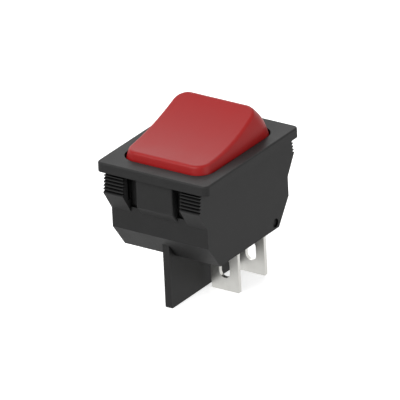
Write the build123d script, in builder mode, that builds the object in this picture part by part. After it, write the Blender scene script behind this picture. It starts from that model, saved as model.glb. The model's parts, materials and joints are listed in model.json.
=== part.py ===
"""Double-pole snap-in rocker switch, in millimetres.

X runs across the switch, from pole to pole. Y runs along it, and the pressed end of the rocker is at -Y.
Z points up. The origin is the centre of the panel plane, which is the underside of the bezel.
"""

import os
from math import asin, cos, radians, sin, sqrt, tan

from build123d import *

os.makedirs("parts", exist_ok=True)

# Bezel
bezel_width = 25.4
bezel_length = 32.0
bezel_height = 2.0
bezel_corner = 1.2
bezel_edge = 0.35

# Body below the panel
body_width = 22.0
body_length = 27.6
body_depth = 17.2
slope_start = 12.1  # depth where the sloped ends begin
base_length = 20.2  # flat bottom between the sloped ends
side_wall = 1.7
end_wall = 1.5
floor = 1.6

# End panel between the snap wings
panel_width = 8.4
panel_reach = 15.3  # distance of its face from the centre
panel_depth = 6.0
panel_foot = 8.0  # depth where its foot meets the end wall
panel_fillet = 0.6
panel_edge = 0.35  # rounding of its upright edges
window_depth = 0.5  # recess of the windows beside it, into the end wall

# Snap wings with ratchet teeth
wing_width = 4.5
wing_thick = 1.25
wing_gap = 0.47  # slit between the wing and the bezel
wing_tip = 16.3  # reach of the lowest tooth
wing_lean = 0.5  # how much less the top tooth reaches
tooth_pitch = 0.68
tooth_depth = 0.5
tooth_tip = 0.18  # flat edge of each tooth
tooth_count = 6
wing_foot = 8.1  # depth where the ramp meets the end wall
wing_root = 5.4  # depth of the floor of the pocket behind the wing
wing_cheek = 1.0  # wall that ties the wing to the long side

# Barrier under the body, between the poles
barrier_thick = 1.5
barrier_length = 24.4
barrier_edge = 0.3

# Rocker opening
opening_width = 20.05
opening_length = 25.2
opening_corner = 3.6
pocket_corner = 2.6
pocket_depth = 7.6  # depth of the wide pocket that the rocker sinks into

# Rocker
pivot_depth = 1.7  # pivot axis below the panel plane
rocker_tilt = 14.4  # tilt each way from level
rocker_side_gap = 0.18
rocker_end_gap = 0.2
rocker_skirt = 1.0  # how far the walls reach below the pivot
rocker_corner = 3.0
rocker_rim = 0.65  # rounded rim around the saddle
crest_height = 7.97  # crest above the pivot
crest_reach = 10.0  # crest from the middle
saddle_dip = 1.25
side_straight = 2.8  # height above the pivot where the sides begin to lean in
side_lean = 1.0
end_straight = -0.5  # height from the pivot where the ends begin to curve in
rocker_wall = 1.1
rocker_skin = 1.5

# Rocker pivots
trunnion_radius = 1.5
trunnion_length = 1.15
trunnion_clearance = 0.05
trunnion_end_gap = 0.1  # room past the end of each pin
cheek_thick = 1.2
cheek_radius = 2.8
boss_gap = 0.3
boss_radius = 3.0

# Plunger and spring in each pole
pole_pitch = 10.26
plunger_reach = 8.3  # tip below the pivot
plunger_radius = 1.6
plunger_top = -1.6  # height of the plunger's upper end from the pivot
plunger_bore = 1.2
plunger_floor = 2.0
plunger_clearance = 0.1
guide_wall = 0.7
guide_reach = 3.6
guide_ceiling = 2.2
spring_wire = 0.35
spring_radius = 0.95
spring_turns = 6
spring_sides = 4  # sides of the section that stands for the round wire

# Contact lever
lever_tilt = 10.0
lever_width = 5.4
lever_thick = 0.8
lever_end = 0.3  # strip left beyond the contact's head
lever_neck = 4.1
neck_half = 0.75
tip_clearance = 0.08
seat_clearance = 0.05

# Terminals
tab_width = 6.3
tab_thick = 0.8
tab_end = 27.6  # depth of the tab ends below the panel plane
tab_spacing = 9.0
tab_hole_width = 2.4
tab_hole_length = 4.2
tab_hole_margin = 2.65
tab_chamfer = 0.1
shoulder_width = 7.3
slot_clearance = 0.1
shelf_reach = 3.7
bend_radius = 0.5
ear_height = 0.9
ear_clearance = 0.15

# Contacts
contact_room = 0.05  # between the rivet's tail and the bend of the terminal
contact_radius = 1.6
contact_height = 0.7
contact_gap = 0.06
contact_shank = 0.75
contact_tail = 1.05
contact_tail_height = 0.35
contact_clearance = 0.02
contact_edge = 0.2

# Rest for the open arm of the lever
rest_width = 4.0
rest_thick = 1.6
rest_gap = 0.06

# Ribs on the end walls that the rocker's ends land on
stop_pitch = 12.0
stop_width = 2.0
stop_inset = 1.6
stop_foot = 13.0
stop_gap = 0.15

# Round moulded mark on the long side
mark_radius = 0.9
mark_depth = 0.4
mark_reach = 9.0
mark_rise = 1.25

# Partition between the poles
partition_thick = 1.2
partition_top = 8.6

# Values that follow from those above
half_body = body_width / 2
half_end = body_length / 2
pivot = Vector(0, 0, -pivot_depth)
along = Vector(0, cos(radians(rocker_tilt)), sin(radians(rocker_tilt)))
rocker_side_plane = Plane(origin=pivot, x_dir=along, z_dir=(1, 0, 0))
rocker_cross_plane = Plane(origin=pivot, x_dir=(1, 0, 0), z_dir=-along)
rocker_plan = Plane(origin=pivot, x_dir=(1, 0, 0), z_dir=along.cross(Vector(-1, 0, 0)))
rocker_axis = Axis(pivot, rocker_plan.z_dir)
rocker_half_width = opening_width / 2 - rocker_side_gap
rocker_half_length = opening_length / 2 - rocker_end_gap
boss_face = half_body - side_wall
ceiling = crest_height - saddle_dip - rocker_skin
barrier_depth = tab_end  # the barrier reaches as far down as the blades
pole_x = pole_pitch / 2
contact_reach = tab_spacing - tab_thick / 2 - bend_radius - contact_tail - contact_room
lever_reach = contact_reach + contact_radius + lever_end
lever_rise = lever_thick / cos(radians(lever_tilt))
fulcrum_z = -pivot_depth - plunger_reach - lever_rise - tip_clearance
floor_z = floor - body_depth
shelf_z = fulcrum_z - 2 * contact_height - contact_gap
tab_hole_z = -tab_end + tab_hole_margin + tab_hole_length / 2
guide_bore = plunger_radius + plunger_clearance


def body_outline():
    """The body seen from the side, as a closed line: upright end walls over sloped ends."""
    Polyline(
        (-half_end, 0),
        (-half_end, -slope_start),
        (-base_length / 2, -body_depth),
        (base_length / 2, -body_depth),
        (half_end, -slope_start),
        (half_end, 0),
        close=True,
    )


def end_panel_outline(end):
    """The raised middle panel of one end wall, with its sloped foot. The end is -1 or 1."""
    face = (end * panel_reach, 0)
    knee = (end * panel_reach, -panel_depth)
    foot = (end * half_end, -panel_foot)
    inner_y = end * (half_end - end_wall)
    FilletPolyline(face, knee, foot, radius=panel_fillet)
    Polyline(foot, (inner_y, -panel_foot), (inner_y, 0), face)


def wing_outline(end):
    """One snap wing: ratchet teeth that reach further towards the bottom, then a long ramp back to the wall."""
    points = [(end * (half_end - end_wall), -wing_gap)]
    for tooth in range(tooth_count):
        reach = wing_tip - wing_lean * (1 - (tooth + 1) / tooth_count)
        top = -wing_gap - tooth * tooth_pitch
        points.append((end * reach, top))
        points.append((end * reach, top - tooth_tip))
        if tooth + 1 < tooth_count:
            points.append((end * (reach - tooth_depth), top - (tooth_pitch + tooth_tip) / 2))
    points.append((end * half_end, -wing_foot))
    points.append((end * (half_end - end_wall), -wing_foot))
    Polyline(*points, close=True)


def end_bow():
    """Radius of the arc in which the rocker's ends curve in to the crests."""
    lean = rocker_half_length - crest_reach
    rise = crest_height - end_straight
    return (rise**2 + lean**2) / (2 * lean)


def end_reach(height):
    """Half of the rocker's length at a height above the pivot."""
    return rocker_half_length - end_bow() + sqrt(end_bow() ** 2 - (height - end_straight) ** 2)


def rocker_length_outline():
    """The rocker seen from the side: upright ends that curve in to the crests, and a hollow saddle on top."""
    half = rocker_half_length
    middle_z = (end_straight + crest_height) / 2
    middle_y = end_reach(middle_z)
    Line((-half, -rocker_skirt), (half, -rocker_skirt))
    Line((half, -rocker_skirt), (half, end_straight))
    ThreePointArc((half, end_straight), (middle_y, middle_z), (crest_reach, crest_height))
    ThreePointArc((crest_reach, crest_height), (0, crest_height - saddle_dip), (-crest_reach, crest_height))
    ThreePointArc((-crest_reach, crest_height), (-middle_y, middle_z), (-half, end_straight))
    Line((-half, end_straight), (-half, -rocker_skirt))


def rocker_width_outline():
    """The rocker seen from its end: upright sides that curve in towards the top."""
    half = rocker_half_width
    rise = crest_height - side_straight
    bow = (rise**2 + side_lean**2) / (2 * side_lean)
    turn = asin(rise / bow) / 2
    middle = (half - bow * (1 - cos(turn)), side_straight + bow * sin(turn))
    top = (half - side_lean, crest_height)
    Line((-half, -rocker_skirt), (half, -rocker_skirt))
    Line((half, -rocker_skirt), (half, side_straight))
    ThreePointArc((half, side_straight), middle, top)
    Line(top, (-top[0], top[1]))
    ThreePointArc((-top[0], top[1]), (-middle[0], middle[1]), (-half, side_straight))
    Line((-half, side_straight), (-half, -rocker_skirt))


def hollow_outline():
    """The rocker's hollow seen from the side: it draws in towards a flat ceiling."""
    low = rocker_half_length - rocker_wall
    high = end_reach(ceiling) - rocker_wall
    Polyline((-low, -rocker_skirt), (low, -rocker_skirt), (high, ceiling), (-high, ceiling), close=True)


def corner_edges(block):
    """The upright edges at the four corners of a block that stands round the rocker's middle."""
    corners = []
    for edge in block.edges():
        middle = rocker_plan.to_local_coords(edge.center())
        if abs(middle.X) > rocker_wall and abs(middle.Y) > rocker_wall:
            corners.append(edge)
    return corners


def plunger_outline(middle):
    """Half of the plunger's section on one side of its axis: a round tip, and a bore for the spring."""
    shoulder = plunger_radius - plunger_reach
    bore_end = plunger_floor - plunger_reach
    tip = (middle, -plunger_reach)
    RadiusArc(tip, (middle + plunger_radius, shoulder), -plunger_radius)
    Polyline(
        (middle + plunger_radius, shoulder),
        (middle + plunger_radius, plunger_top),
        (middle + plunger_bore, plunger_top),
        (middle + plunger_bore, bore_end),
        (middle, bore_end),
        tip,
    )


def lever_outline():
    """The lever seen from the side at rest: a level arm over the contact, and the other arm raised."""
    lift = radians(2 * lever_tilt)
    peak_y = lever_thick * tan(radians(lever_tilt))
    end_y = -lever_reach * cos(lift)
    end_z = fulcrum_z + lever_reach * sin(lift)
    Polyline(
        (0, fulcrum_z),
        (lever_reach, fulcrum_z),
        (lever_reach, fulcrum_z + lever_thick),
        (peak_y, fulcrum_z + lever_thick),
        (end_y + lever_thick * sin(lift), end_z + lever_thick * cos(lift)),
        (end_y, end_z),
        close=True,
    )


def load_outline():
    """The load terminal seen from the side: an upright blade with a round bend into a level shelf."""
    inner_y = tab_spacing - tab_thick / 2
    outer_y = tab_spacing + tab_thick / 2
    end_y = tab_spacing - shelf_reach
    outer_bend = bend_radius + tab_thick
    Line((inner_y, -tab_end), (outer_y, -tab_end))
    Line((outer_y, -tab_end), (outer_y, shelf_z - outer_bend))
    RadiusArc((outer_y, shelf_z - outer_bend), (outer_y - outer_bend, shelf_z), -outer_bend)
    Line((outer_y - outer_bend, shelf_z), (end_y, shelf_z))
    Line((end_y, shelf_z), (end_y, shelf_z - tab_thick))
    Line((end_y, shelf_z - tab_thick), (inner_y - bend_radius, shelf_z - tab_thick))
    RadiusArc((inner_y - bend_radius, shelf_z - tab_thick), (inner_y, shelf_z - outer_bend), bend_radius)
    Line((inner_y, shelf_z - outer_bend), (inner_y, -tab_end))


# Housing: bezel, body, snap wings and barrier are one moulding
with BuildPart() as housing:
    with BuildSketch(Plane.XY):
        RectangleRounded(bezel_width, bezel_length, bezel_corner)
    extrude(amount=bezel_height)
    fillet(housing.faces().sort_by(Axis.Z)[-1].edges(), bezel_edge)
    with BuildSketch(Plane.YZ):
        with BuildLine():
            body_outline()
        make_face()
    extrude(amount=half_body, both=True)
    with BuildSketch(Plane.YZ):
        for end in (-1, 1):
            with BuildLine():
                end_panel_outline(end)
            make_face()
    extrude(amount=panel_width / 2, both=True)
    panel_sides = []
    for edge in housing.edges().filter_by(Axis.Z):
        if edge.center().Z < 0 and abs(edge.center().Y) > (half_end + panel_reach) / 2:
            panel_sides.append(edge)
    fillet(panel_sides, panel_edge)
    for side in (-1, 1):
        with BuildSketch(Plane.YZ.offset(side * half_body)):
            for end in (-1, 1):
                with BuildLine():
                    wing_outline(end)
                make_face()
        extrude(amount=-side * wing_width)
    # pocket behind each wing, open to the window beside it
    with BuildSketch(Plane.XY):
        for side in (-1, 1):
            for end in (-1, 1):
                pocket_out = wing_tip - wing_lean - wing_thick
                pocket_x = (panel_width / 2 + half_body - wing_cheek) / 2
                pocket_y = (half_end + pocket_out) / 2
                with Locations((side * pocket_x, end * pocket_y)):
                    Rectangle(half_body - wing_cheek - panel_width / 2, pocket_out - half_end)
    extrude(amount=-wing_root, mode=Mode.SUBTRACT)
    # windows between the wings and the end panels
    with BuildSketch(Plane.XY):
        for side in (-1, 1):
            for end in (-1, 1):
                window_x = (panel_width / 2 + half_body - wing_width) / 2
                with Locations((side * window_x, end * half_end)):
                    Rectangle(half_body - wing_width - panel_width / 2, 2 * window_depth)
    extrude(amount=-(panel_depth + panel_foot) / 2, mode=Mode.SUBTRACT)
    # barrier
    with BuildSketch(Plane.YZ):
        with Locations((0, -(barrier_depth + slope_start) / 2)):
            RectangleRounded(barrier_length, barrier_depth - slope_start, barrier_edge)
    extrude(amount=barrier_thick / 2, both=True)
    # inside of the body
    with BuildSketch(Plane.YZ):
        with BuildLine():
            body_outline()
        make_face()
        offset(amount=-end_wall, kind=Kind.INTERSECTION)
        with Locations((0, floor_z + body_depth / 2)):
            Rectangle(body_length, body_depth, mode=Mode.INTERSECT)
    extrude(amount=boss_face, both=True, mode=Mode.SUBTRACT)
    # opening in the bezel, and the pocket for the rocker under it
    with BuildSketch(Plane.XY):
        RectangleRounded(opening_width, opening_length, opening_corner)
    extrude(amount=bezel_height, mode=Mode.SUBTRACT)
    with BuildSketch(Plane.XY):
        RectangleRounded(opening_width, opening_length, pocket_corner)
    extrude(amount=-pocket_depth, mode=Mode.SUBTRACT)
    # bearing bosses with blind pivot holes
    for side in (-1, 1):
        with BuildSketch(Plane.YZ.offset(side * boss_face)):
            with Locations((0, -pivot_depth)):
                Circle(boss_radius)
            with Locations((0, -(pivot_depth + pocket_depth + end_wall) / 2)):
                Rectangle(2 * boss_radius, pocket_depth + end_wall - pivot_depth)
        extrude(amount=side * ((half_body + opening_width / 2) / 2 - boss_face))
        with BuildSketch(Plane.YZ.offset(side * boss_face)):
            with Locations((0, -pivot_depth)):
                Circle(trunnion_radius + trunnion_clearance)
        extrude(amount=side * (trunnion_length - boss_gap + trunnion_end_gap), mode=Mode.SUBTRACT)
    # partition between the poles, over the barrier
    with BuildSketch(Plane.XY.offset(floor_z)):
        Rectangle(partition_thick, barrier_length)
    extrude(amount=-partition_top - floor_z)
    # ribs that stop the rocker
    stop_z = pivot.Z - rocker_half_length * along.Z - rocker_skirt * along.Y - stop_gap
    stop_out = half_end - end_wall / 2
    stop_in = half_end - end_wall - stop_inset
    with BuildSketch(Plane.XY.offset(-stop_foot)):
        for side in (-1, 1):
            for end in (-1, 1):
                with Locations((side * stop_pitch / 2, end * (stop_out + stop_in) / 2)):
                    Rectangle(stop_width, stop_out - stop_in)
    extrude(amount=stop_foot + stop_z)
    # rests for the open arms
    for side in (-1, 1):
        with BuildSketch(Plane.XY.offset(floor_z)):
            with Locations((side * pole_x, -contact_reach)):
                Rectangle(rest_width, rest_thick)
        extrude(amount=fulcrum_z - rest_gap - floor_z)
    # slots for the terminals
    with BuildSketch(Plane.XY.offset(-body_depth)):
        for side in (-1, 1):
            for row in (0, 1):
                with Locations((side * pole_x, row * tab_spacing)):
                    Rectangle(tab_width + 2 * slot_clearance, tab_thick + 2 * slot_clearance)
    extrude(amount=floor + end_wall, mode=Mode.SUBTRACT)
    # round mark on the right side
    with BuildSketch(Plane.YZ.offset(half_body)):
        with Locations((mark_reach, mark_rise - body_depth)):
            Circle(mark_radius)
    extrude(amount=-mark_depth, mode=Mode.SUBTRACT)
housing.part.label = "housing"
export_step(housing.part, "parts/housing.step")


# The hollow that is taken out of the rocker's underside
with BuildPart() as hollow:
    with BuildSketch(rocker_side_plane):
        with BuildLine():
            hollow_outline()
        make_face()
    extrude(amount=rocker_half_width - rocker_wall, both=True)
    fillet(corner_edges(hollow), rocker_corner - rocker_wall)

# Rocker: a hollow saddle-shaped moulding with two pivot cheeks and two plunger guides
with BuildPart() as rocker:
    with BuildSketch(rocker_cross_plane):
        with BuildLine():
            rocker_width_outline()
        make_face()
    extrude(amount=bezel_length / 2, both=True)
    with BuildSketch(rocker_side_plane):
        with BuildLine():
            rocker_length_outline()
        make_face()
    extrude(amount=bezel_width / 2, both=True, mode=Mode.INTERSECT)
    fillet(corner_edges(rocker), rocker_corner)
    fillet(rocker.faces().sort_by(rocker_axis)[-1].edges(), rocker_rim)
    add(hollow.part, mode=Mode.SUBTRACT)
    cheek_top = ceiling + rocker_skin / 2
    cheek_face = boss_face - boss_gap
    boss_room = (boss_radius + boss_gap + rocker_skirt * along.Z) / along.Y
    for side in (-1, 1):
        # room around the bearing boss
        with BuildSketch(rocker_side_plane.offset(side * cheek_face)):
            Circle(boss_radius + boss_gap)
            with Locations((0, -boss_radius / 2)):
                Rectangle(2 * boss_room, boss_radius)
        extrude(amount=side * bezel_width, mode=Mode.SUBTRACT)
        # cheek and pivot pin
        with BuildSketch(rocker_side_plane.offset(side * cheek_face)):
            Circle(cheek_radius)
            with Locations((0, cheek_top / 2)):
                Rectangle(2 * cheek_radius, cheek_top)
        extrude(amount=-side * cheek_thick)
        with BuildSketch(rocker_side_plane.offset(side * cheek_face)):
            Circle(trunnion_radius)
        extrude(amount=side * trunnion_length)
        # plunger guide
        with BuildSketch(rocker_plan.offset(-guide_reach)):
            with Locations((side * pole_x, 0)):
                Circle(guide_bore + guide_wall)
        extrude(amount=guide_reach + cheek_top)
        with BuildSketch(rocker_plan.offset(-guide_reach)):
            with Locations((side * pole_x, 0)):
                Circle(guide_bore)
        extrude(amount=guide_reach + guide_ceiling, mode=Mode.SUBTRACT)
rocker.part.label = "rocker"
export_step(rocker.part, "parts/rocker.step")

for side, name in ((-1, "left"), (1, "right")):
    # Plunger: a pin with a round tip, hollow for its spring
    with BuildPart() as plunger:
        with BuildSketch(rocker_cross_plane):
            with BuildLine():
                plunger_outline(side * pole_x)
            make_face()
        revolve(axis=Axis(pivot + Vector(side * pole_x, 0, 0), rocker_plan.z_dir))
    plunger.part.label = f"plunger_{name}"
    export_step(plunger.part, f"parts/plunger_{name}.step")

    # Plunger spring, between the plunger's floor and the guide's ceiling
    spring_foot = plunger_floor - plunger_reach + spring_wire / 2 + seat_clearance
    spring_length = guide_ceiling - spring_wire / 2 - seat_clearance - spring_foot
    spring_place = rocker_plan.from_local_coords(Vector(side * pole_x, 0, spring_foot))
    with BuildPart() as plunger_spring:
        with BuildLine() as coil:
            Helix(
                pitch=spring_length / spring_turns,
                height=spring_length,
                radius=spring_radius,
                center=spring_place,
                direction=rocker_plan.z_dir,
            )
        with BuildSketch(Plane(origin=coil.line @ 0, z_dir=coil.line % 0)):
            RegularPolygon(spring_wire / 2, spring_sides)
        sweep(is_frenet=True)
    plunger_spring.part.label = f"plunger_spring_{name}"
    export_step(plunger_spring.part, f"parts/plunger_spring_{name}.step")

    # Contact lever: a bent copper strip that rocks on the common terminal
    with BuildPart() as contact_lever:
        with BuildSketch(Plane.YZ.offset(side * pole_x)):
            with BuildLine():
                lever_outline()
            make_face()
        extrude(amount=lever_width / 2, both=True)
        with BuildSketch(Plane.XY.offset(fulcrum_z)):
            for edge in (-1, 1):
                notch_x = side * pole_x + edge * (lever_neck + lever_width) / 4
                with Locations((notch_x, 0)):
                    Rectangle((lever_width - lever_neck) / 2, 2 * neck_half)
        extrude(amount=lever_width, both=True, mode=Mode.SUBTRACT)
        with BuildSketch(Plane.XY.offset(fulcrum_z)):
            with Locations((side * pole_x, contact_reach)):
                Circle(contact_shank + contact_clearance)
        extrude(amount=lever_thick, mode=Mode.SUBTRACT)
    contact_lever.part.label = f"contact_lever_{name}"
    export_step(contact_lever.part, f"parts/contact_lever_{name}.step")

    # Moving contact: a rivet whose head hangs under the lever's closed arm
    with BuildPart() as moving_contact:
        with BuildSketch(Plane.XY.offset(fulcrum_z)):
            with Locations((side * pole_x, contact_reach)):
                Circle(contact_radius)
        extrude(amount=-contact_height)
        chamfer(moving_contact.faces().sort_by(Axis.Z)[0].edges(), contact_edge)
        with BuildSketch(Plane.XY.offset(fulcrum_z)):
            with Locations((side * pole_x, contact_reach)):
                Circle(contact_shank)
        extrude(amount=lever_thick)
        with BuildSketch(Plane.XY.offset(fulcrum_z + lever_thick)):
            with Locations((side * pole_x, contact_reach)):
                Circle(contact_tail)
        extrude(amount=contact_tail_height)
    moving_contact.part.label = f"moving_contact_{name}"
    export_step(moving_contact.part, f"parts/moving_contact_{name}.step")

    # Fixed contact: a rivet on the load terminal's shelf
    with BuildPart() as fixed_contact:
        with BuildSketch(Plane.XY.offset(shelf_z)):
            with Locations((side * pole_x, contact_reach)):
                Circle(contact_radius)
        extrude(amount=contact_height)
        chamfer(fixed_contact.faces().sort_by(Axis.Z)[-1].edges(), contact_edge)
        with BuildSketch(Plane.XY.offset(shelf_z)):
            with Locations((side * pole_x, contact_reach)):
                Circle(contact_shank)
        extrude(amount=-tab_thick)
        with BuildSketch(Plane.XY.offset(shelf_z - tab_thick)):
            with Locations((side * pole_x, contact_reach)):
                Circle(contact_tail)
        extrude(amount=-contact_tail_height)
    fixed_contact.part.label = f"fixed_contact_{name}"
    export_step(fixed_contact.part, f"parts/fixed_contact_{name}.step")

    # Common terminal: a flat blade from the tab up to the lever's seat
    seat_z = fulcrum_z - seat_clearance
    with BuildPart() as common_terminal:
        with BuildSketch(Plane.XZ):
            with Locations((side * pole_x, (seat_z - tab_end) / 2)):
                Rectangle(tab_width, seat_z + tab_end)
            with Locations((side * pole_x, (seat_z + floor_z + seat_clearance) / 2)):
                Rectangle(shoulder_width, seat_z - floor_z - seat_clearance)
            ear_inner = lever_neck / 2 + ear_clearance
            ear_width = shoulder_width / 2 - ear_inner
            for edge in (-1, 1):
                ear_x = side * pole_x + edge * (ear_inner + ear_width / 2)
                with Locations((ear_x, seat_z + ear_height / 2)):
                    Rectangle(ear_width, ear_height)
            with Locations((side * pole_x, tab_hole_z)):
                SlotOverall(tab_hole_length, tab_hole_width, rotation=90, mode=Mode.SUBTRACT)
        extrude(amount=tab_thick / 2, both=True)
        tab_corners = common_terminal.edges().filter_by(Axis.Y).group_by(Axis.Z)[0]
        chamfer(tab_corners, tab_chamfer)
    common_terminal.part.label = f"common_terminal_{name}"
    export_step(common_terminal.part, f"parts/common_terminal_{name}.step")

    # Load terminal: a blade bent over into the shelf that holds the fixed contact
    with BuildPart() as load_terminal:
        with BuildSketch(Plane.YZ.offset(side * pole_x)):
            with BuildLine():
                load_outline()
            make_face()
        extrude(amount=tab_width / 2, both=True)
        with BuildSketch(Plane.YZ.offset(side * pole_x)):
            with BuildLine():
                load_outline()
            make_face()
            with Locations((tab_spacing, (floor_z + seat_clearance + shelf_z) / 2)):
                Rectangle(2 * tab_spacing, shelf_z - floor_z - seat_clearance, mode=Mode.INTERSECT)
        extrude(amount=shoulder_width / 2, both=True)
        with BuildSketch(Plane.XZ.offset(-tab_spacing)):
            with Locations((side * pole_x, tab_hole_z)):
                SlotOverall(tab_hole_length, tab_hole_width, rotation=90)
        extrude(amount=tab_thick, both=True, mode=Mode.SUBTRACT)
        with BuildSketch(Plane.XY.offset(shelf_z)):
            with Locations((side * pole_x, contact_reach)):
                Circle(contact_shank + contact_clearance)
        extrude(amount=-tab_thick, mode=Mode.SUBTRACT)
        tab_corners = load_terminal.edges().filter_by(Axis.Y).group_by(Axis.Z)[0]
        chamfer(tab_corners, tab_chamfer)
    load_terminal.part.label = f"load_terminal_{name}"
    export_step(load_terminal.part, f"parts/load_terminal_{name}.step")
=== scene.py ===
import json
import math

import bpy
from mathutils import Matrix, Vector


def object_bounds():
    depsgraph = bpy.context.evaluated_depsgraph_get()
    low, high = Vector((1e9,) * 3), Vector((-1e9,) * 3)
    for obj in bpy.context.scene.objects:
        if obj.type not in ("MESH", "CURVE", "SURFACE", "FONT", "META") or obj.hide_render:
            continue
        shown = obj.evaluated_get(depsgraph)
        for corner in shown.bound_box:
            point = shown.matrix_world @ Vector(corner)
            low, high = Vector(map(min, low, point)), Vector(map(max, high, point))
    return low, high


# Looks of the double-pole rocker switch, in metres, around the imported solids.
# X runs from pole to pole, Y towards the load blades, and Z points out of the panel.

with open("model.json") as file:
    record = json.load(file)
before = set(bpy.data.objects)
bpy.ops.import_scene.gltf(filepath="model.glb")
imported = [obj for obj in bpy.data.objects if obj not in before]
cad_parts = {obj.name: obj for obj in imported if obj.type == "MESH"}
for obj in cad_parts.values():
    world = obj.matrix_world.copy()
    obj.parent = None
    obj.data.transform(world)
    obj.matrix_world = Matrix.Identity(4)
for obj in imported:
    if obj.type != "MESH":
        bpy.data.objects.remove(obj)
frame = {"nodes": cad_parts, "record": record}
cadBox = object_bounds()
nodes = frame["nodes"]
print("frame loaded:", len(nodes), "nodes")

mm = 0.001


# Camera
camera = {
    "azimuth": 35.1,      # degrees round from the pressed end, towards +X
    "elevation": 24.9,    # degrees above the panel plane
    "roll": 2.8,          # the photograph leans a little
    "field": 76.20 * mm,  # width of the view at the object
    "lens": 1000.0,       # a very long lens, so upright edges stay parallel
    "sensor": 36.0,
    "farthest": 100.0,    # nothing is drawn past this
    "middle": Vector((2.54, -3.74, -7.73)) * mm,  # point at the middle of the picture
}


def placeCamera(spec):
    # the camera looks back along its own Z axis, from the azimuth and elevation given
    az, el, roll = (math.radians(spec[key]) for key in ("azimuth", "elevation", "roll"))
    back = Vector((math.sin(az) * math.cos(el), -math.cos(az) * math.cos(el), math.sin(el)))
    level = Vector((math.cos(az), math.sin(az), 0.0))
    upright = back.cross(level)
    right = level * math.cos(roll) - upright * math.sin(roll)
    up = upright * math.cos(roll) + level * math.sin(roll)
    data = bpy.data.cameras.new("viewCamera")
    data.lens = spec["lens"]
    data.sensor_width = spec["sensor"]
    data.clip_end = spec["farthest"]
    distance = spec["lens"] / spec["sensor"] * spec["field"]
    obj = bpy.data.objects.new("viewCamera", data)
    place = spec["middle"] + back * distance
    obj.matrix_world = Matrix.Translation(place) @ Matrix((right, up, back)).transposed().to_4x4()
    bpy.context.scene.collection.objects.link(obj)
    bpy.context.scene.camera = obj


placeCamera(camera)
bpy.context.scene.view_settings.view_transform = "Standard"
print("camera placed")


# Nodes of the materials
def put(tree, kind, inputs=None, **settings):
    # adds one node, sets its properties, and fills its inputs with values or links
    node = tree.nodes.new(kind)
    for name, value in settings.items():
        setattr(node, name, value)
    for name, value in (inputs or {}).items():
        if isinstance(value, bpy.types.NodeSocket):
            tree.links.new(value, node.inputs[name])
        else:
            node.inputs[name].default_value = value
    return node


def startGroup(name, inputs, outputs):
    # an empty node group with its named sockets, and its input and output nodes
    tree = bpy.data.node_groups.new(name, "ShaderNodeTree")
    for label, kind, value in inputs:
        socket = tree.interface.new_socket(label, in_out="INPUT", socket_type=kind)
        if value is not None:
            socket.default_value = value
    for label, kind in outputs:
        tree.interface.new_socket(label, in_out="OUTPUT", socket_type=kind)
    return tree, tree.nodes.new("NodeGroupInput").outputs, tree.nodes.new("NodeGroupOutput").inputs


def mathNode(tree, operation, first, second):
    return put(tree, "ShaderNodeMath", {0: first, 1: second}, operation=operation).outputs[0]


def scaled(tree, vector, factor):
    return put(tree, "ShaderNodeVectorMath", {0: vector, "Scale": factor}, operation="SCALE").outputs[0]


def between(tree, value, low, high, atLow, atHigh):
    # turns the range from low to high into the range from atLow to atHigh
    return put(tree, "ShaderNodeMapRange", {
        "Value": value, "From Min": low, "From Max": high, "To Min": atLow, "To Max": atHigh}).outputs[0]


def noiseAt(tree, vector, scale, detail=3.0, rough=0.55):
    return put(tree, "ShaderNodeTexNoise", {"Vector": vector, "Scale": scale, "Detail": detail,
                                            "Roughness": rough}).outputs[0]


grainPattern = {
    "cloudScale": 0.22,  # slow clouds where the plastic flowed, per mm
    "speckScale": 2.6,   # small specks, per mm
    "cloudShare": 0.67,  # share of the clouds in the mottling, and the rest is specks
    "smoothAt": 0.3,     # mottling at which the surface is smoothest
    "roughAt": 0.7,      # and at which it is roughest
}


def buildMouldedGrain(spec):
    # fine eroded grain of a mould, and slow mottling in its colour and polish
    tree, given, out = startGroup(
        "mouldedGrain",
        [("Place", "NodeSocketVector", None), ("Colour", "NodeSocketColor", (0.5, 0.5, 0.5, 1)),
         ("Cloud", "NodeSocketColor", (0.6, 0.6, 0.6, 1)), ("Grain Scale", "NodeSocketFloat", 9.0),
         ("Grain Height", "NodeSocketFloat", 0.012), ("Smoothest", "NodeSocketFloat", 0.3),
         ("Roughest", "NodeSocketFloat", 0.5)],
        [("Colour", "NodeSocketColor"), ("Roughness", "NodeSocketFloat"), ("Normal", "NodeSocketVector")])
    inMm = scaled(tree, given["Place"], 1 / mm)
    grain = noiseAt(tree, inMm, given["Grain Scale"], detail=4.0, rough=0.6)
    cloud = noiseAt(tree, inMm, spec["cloudScale"], detail=2.0, rough=0.5)
    speck = noiseAt(tree, inMm, spec["speckScale"], detail=3.0, rough=0.5)
    mottle = mathNode(tree, "ADD", mathNode(tree, "MULTIPLY", cloud, spec["cloudShare"]),
                      mathNode(tree, "MULTIPLY", speck, 1 - spec["cloudShare"]))
    mixed = put(tree, "ShaderNodeMix", {0: mottle, 6: given["Colour"], 7: given["Cloud"]}, data_type="RGBA")
    tree.links.new(mixed.outputs[2], out["Colour"])
    rough = between(tree, mottle, spec["smoothAt"], spec["roughAt"], given["Smoothest"], given["Roughest"])
    tree.links.new(rough, out["Roughness"])
    height = mathNode(tree, "MULTIPLY", grain, given["Grain Height"])
    bump = put(tree, "ShaderNodeBump", {"Height": height, "Distance": mm, "Strength": 1.0})
    tree.links.new(bump.outputs[0], out["Normal"])
    return tree


streakPattern = {
    "patchScale": 0.45,  # slow patches of dulling, per mm
    "lineShare": 0.45,   # share of the lines in the dulling, and the rest is patches
    "smoothAt": 0.3,     # dulling at which the metal is smoothest
    "roughAt": 0.7,      # and at which it is roughest
}


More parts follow.
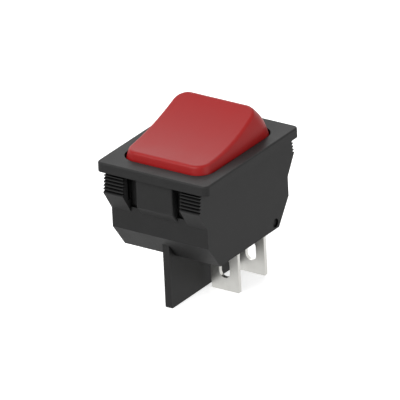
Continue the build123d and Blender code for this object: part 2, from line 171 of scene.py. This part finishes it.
def buildRolledStreaks(spec):
    # long fine lines that the rolling of strip metal leaves, over slow patches of dulling
    tree, given, out = startGroup(
        "rolledStreaks",
        [("Place", "NodeSocketVector", None), ("Stretch", "NodeSocketVector", (1, 1, 0.04)),
         ("Colour", "NodeSocketColor", (0.8, 0.8, 0.8, 1)), ("Dull", "NodeSocketColor", (0.6, 0.6, 0.6, 1)),
         ("Line Scale", "NodeSocketFloat", 9.0), ("Line Height", "NodeSocketFloat", 0.004),
         ("Smoothest", "NodeSocketFloat", 0.2), ("Roughest", "NodeSocketFloat", 0.4)],
        [("Colour", "NodeSocketColor"), ("Roughness", "NodeSocketFloat"), ("Normal", "NodeSocketVector")])
    inMm = scaled(tree, given["Place"], 1 / mm)
    drawn = put(tree, "ShaderNodeVectorMath", {0: inMm, 1: given["Stretch"]},
                operation="MULTIPLY").outputs[0]
    lines = noiseAt(tree, drawn, given["Line Scale"], detail=3.0, rough=0.6)
    patches = noiseAt(tree, inMm, spec["patchScale"])
    worn = mathNode(tree, "ADD", mathNode(tree, "MULTIPLY", lines, spec["lineShare"]),
                    mathNode(tree, "MULTIPLY", patches, 1 - spec["lineShare"]))
    mixed = put(tree, "ShaderNodeMix", {0: worn, 6: given["Colour"], 7: given["Dull"]}, data_type="RGBA")
    tree.links.new(mixed.outputs[2], out["Colour"])
    rough = between(tree, worn, spec["smoothAt"], spec["roughAt"], given["Smoothest"], given["Roughest"])
    tree.links.new(rough, out["Roughness"])
    height = mathNode(tree, "MULTIPLY", lines, given["Line Height"])
    bump = put(tree, "ShaderNodeBump", {"Height": height, "Distance": mm, "Strength": 1.0})
    tree.links.new(bump.outputs[0], out["Normal"])
    return tree


mouldedGrain = buildMouldedGrain(grainPattern)
rolledStreaks = buildRolledStreaks(streakPattern)
print("patterns built")


def surfaceMaterial(name, group, values, paintedShade=None, **shader):
    # one material: the group's pattern on Object coordinates, and the shader with its own plain values.
    # Painted shade: the colour is darkened in the piece's own grooves, windows and corners, where shade
    # falls; reach is how far round a point is looked at, and its colour goes from shade times itself where it
    # is closed in, to itself where it is open.
    material = bpy.data.materials.new(name)
    material.use_nodes = True
    tree = material.node_tree
    tree.nodes.clear()
    place = put(tree, "ShaderNodeTexCoord").outputs["Object"]
    pattern = put(tree, "ShaderNodeGroup", node_tree=group)
    tree.links.new(place, pattern.inputs["Place"])
    for label, value in values.items():
        pattern.inputs[label].default_value = value
    colour = pattern.outputs["Colour"]
    if paintedShade:
        # painted shade: ambient occlusion darkens the base colour where the piece closes round a point
        openness = put(tree, "ShaderNodeAmbientOcclusion", {"Distance": paintedShade["reach"]},
                       samples=8, only_local=True).outputs["AO"]
        share = between(tree, openness, paintedShade["closed"], paintedShade["open"], paintedShade["shade"], 1.0)
        colour = scaled(tree, colour, share)
    body = put(tree, "ShaderNodeBsdfPrincipled", {
        "Base Color": colour, "Roughness": pattern.outputs["Roughness"],
        "Normal": pattern.outputs["Normal"], **shader})
    put(tree, "ShaderNodeOutputMaterial", {"Surface": body.outputs[0]})
    return material


# Finishes, one for each material slot of the record, with heights in mm and scales per mm
finishes = {
    "black_housing": surfaceMaterial("blackNylonPaintedShade", mouldedGrain, {
        "Colour": (0.0185, 0.0185, 0.0185, 1), "Cloud": (0.028, 0.028, 0.028, 1), "Grain Scale": 9.0,
        "Grain Height": 0.010, "Smoothest": 0.36, "Roughest": 0.46},
        # painted shade darkened into the housing's colour in its grooves, windows and corners
        paintedShade={"reach": 2.0 * mm, "closed": 0.40, "open": 0.85, "shade": 0.08},
        **{"Specular IOR Level": 0.13}),
    "red_rocker": surfaceMaterial("redNylon", mouldedGrain, {
        "Colour": (0.315, 0.008, 0.008, 1), "Cloud": (0.353, 0.012, 0.012, 1), "Grain Scale": 11.0,
        "Grain Height": 0.005, "Smoothest": 0.30, "Roughest": 0.40}, **{"Specular IOR Level": 0.22}),
    "plunger_plastic": surfaceMaterial("whiteAcetal", mouldedGrain, {
        "Colour": (0.72, 0.70, 0.64, 1), "Cloud": (0.78, 0.76, 0.70, 1), "Grain Scale": 14.0,
        "Grain Height": 0.003, "Smoothest": 0.28, "Roughest": 0.40}, **{"Specular IOR Level": 0.5}),
    "spring_steel": surfaceMaterial("springWire", rolledStreaks, {
        "Colour": (0.52, 0.53, 0.55, 1), "Dull": (0.40, 0.40, 0.42, 1), "Stretch": (1, 1, 1),
        "Line Scale": 5.0, "Line Height": 0.002, "Smoothest": 0.22, "Roughest": 0.36}, Metallic=1.0),
    "copper_strip": surfaceMaterial("copperStrip", rolledStreaks, {
        "Colour": (0.80, 0.46, 0.29, 1), "Dull": (0.60, 0.32, 0.19, 1), "Stretch": (1, 0.04, 1),
        "Line Scale": 9.0, "Line Height": 0.004, "Smoothest": 0.26, "Roughest": 0.42}, Metallic=1.0),
    "silver_contact": surfaceMaterial("silverRivet", rolledStreaks, {
        "Colour": (0.90, 0.89, 0.86, 1), "Dull": (0.74, 0.72, 0.68, 1), "Stretch": (1, 1, 1),
        "Line Scale": 4.0, "Line Height": 0.003, "Smoothest": 0.20, "Roughest": 0.34}, Metallic=1.0),
    "tinned_terminal": surfaceMaterial("tinnedBrass", rolledStreaks, {
        "Colour": (0.79, 0.785, 0.75, 1), "Dull": (0.62, 0.615, 0.585, 1), "Stretch": (1, 1, 0.04),
        "Line Scale": 8.0, "Line Height": 0.003, "Smoothest": 0.26, "Roughest": 0.40}, Metallic=1.0),
}
for part in frame["record"]["subparts"]:
    for materialSlot in nodes[part["node"]].material_slots:
        materialSlot.material = finishes[part["material_slot"]]
print("finishes given to", len(nodes), "nodes")


# Floor, sky and lamps
def seenRays(tree):
    # two masks: what the camera sees directly, and what it sees mirrored or through something clear
    path = put(tree, "ShaderNodeLightPath").outputs
    shine = mathNode(tree, "MAXIMUM", path["Is Glossy Ray"], path["Is Transmission Ray"])
    return path["Is Camera Ray"], shine


floorLooks = {
    "half": 3.0,             # the floor reaches past the view on every side
    "gap": 0.02 * mm,        # it lies this far under the blades
    "colour": (0.95, 0.95, 0.95, 1),
    "glow": 0.64,            # added for the camera, so the floor comes out white but for a faint shadow
    "shine": (0.80, 0.96),   # what metal and gloss see of it, in front of the switch and behind it
    "shineReach": 20 * mm,   # distance from the middle at which those two values are reached
}


def buildFloor(spec):
    # a flat square just under the lowest point of the blades
    lowest = cadBox[0][2] - spec["gap"]
    half = spec["half"]
    corners = [(-half, -half, lowest), (half, -half, lowest), (half, half, lowest), (-half, half, lowest)]
    mesh = bpy.data.meshes.new("floor")
    mesh.from_pydata(corners, [], [(0, 1, 2, 3)])
    floor = bpy.data.objects.new("floor", mesh)
    bpy.context.scene.collection.objects.link(floor)
    material = bpy.data.materials.new("paleFloor")
    material.use_nodes = True
    tree = material.node_tree
    tree.nodes.clear()
    seen, shine = seenRays(tree)
    glow = put(tree, "ShaderNodeEmission", {"Strength": mathNode(tree, "MULTIPLY", seen, spec["glow"])})
    matte = put(tree, "ShaderNodeBsdfDiffuse", {"Color": spec["colour"]})
    lit = put(tree, "ShaderNodeAddShader", {0: glow.outputs[0], 1: matte.outputs[0]})
    place = put(tree, "ShaderNodeTexCoord").outputs["Object"]
    depth = put(tree, "ShaderNodeSeparateXYZ", {0: place}).outputs["Y"]
    shineHere = between(tree, depth, -spec["shineReach"], spec["shineReach"], *spec["shine"])
    even = put(tree, "ShaderNodeEmission", {"Strength": shineHere})
    both = put(tree, "ShaderNodeMixShader", {0: shine, 1: lit.outputs[0], 2: even.outputs[0]})
    put(tree, "ShaderNodeOutputMaterial", {"Surface": both.outputs[0]})
    mesh.materials.append(material)


sky = {
    "fill": 0.42,  # even light from all round
    "seen": 1.0,   # what the camera, metal and gloss see in its place
}


def buildSky(spec):
    # an even grey sky as light, which the camera, metal and gloss see as white
    world = bpy.data.worlds.new("studioWorld")
    world.use_nodes = True
    tree = world.node_tree
    tree.nodes.clear()
    seen, shine = seenRays(tree)
    white = mathNode(tree, "MAXIMUM", seen, shine)
    strength = between(tree, white, 0.0, 1.0, spec["fill"], spec["seen"])
    even = put(tree, "ShaderNodeBackground", {"Color": (1, 1, 1, 1), "Strength": strength})
    put(tree, "ShaderNodeOutputWorld", {"Surface": even.outputs[0]})
    bpy.context.scene.world = world


lamps = {
    # in front of the pressed end, a little to the left
    "keyLamp": {"place": Vector((-0.10, -0.39, 0.33)), "size": 0.42, "power": 1.95},
    # low on the right, for the long side and the rocker's flank
    "rimLamp": {"place": Vector((0.42, -0.02, 0.14)), "size": 0.30, "power": 0.39},
    # behind on the left, where the rocker's top mirrors it
    "backLamp": {"place": Vector((-0.28, 0.26, 0.38)), "size": 0.50, "power": 0.75},
}


def placeLamp(name, spec):
    # a square soft lamp that faces the middle of the switch, with place and size in metres and power in watts
    data = bpy.data.lights.new(name, "AREA")
    data.shape = "SQUARE"
    data.size = spec["size"]
    data.energy = spec["power"]
    obj = bpy.data.objects.new(name, data)
    turn = (camera["middle"] - spec["place"]).to_track_quat("-Z", "Y").to_matrix().to_4x4()
    obj.matrix_world = Matrix.Translation(spec["place"]) @ turn
    bpy.context.scene.collection.objects.link(obj)


buildFloor(floorLooks)
buildSky(sky)
for lampName, lampSpec in lamps.items():
    placeLamp(lampName, lampSpec)
print("floor, sky and", len(lamps), "lamps ready")
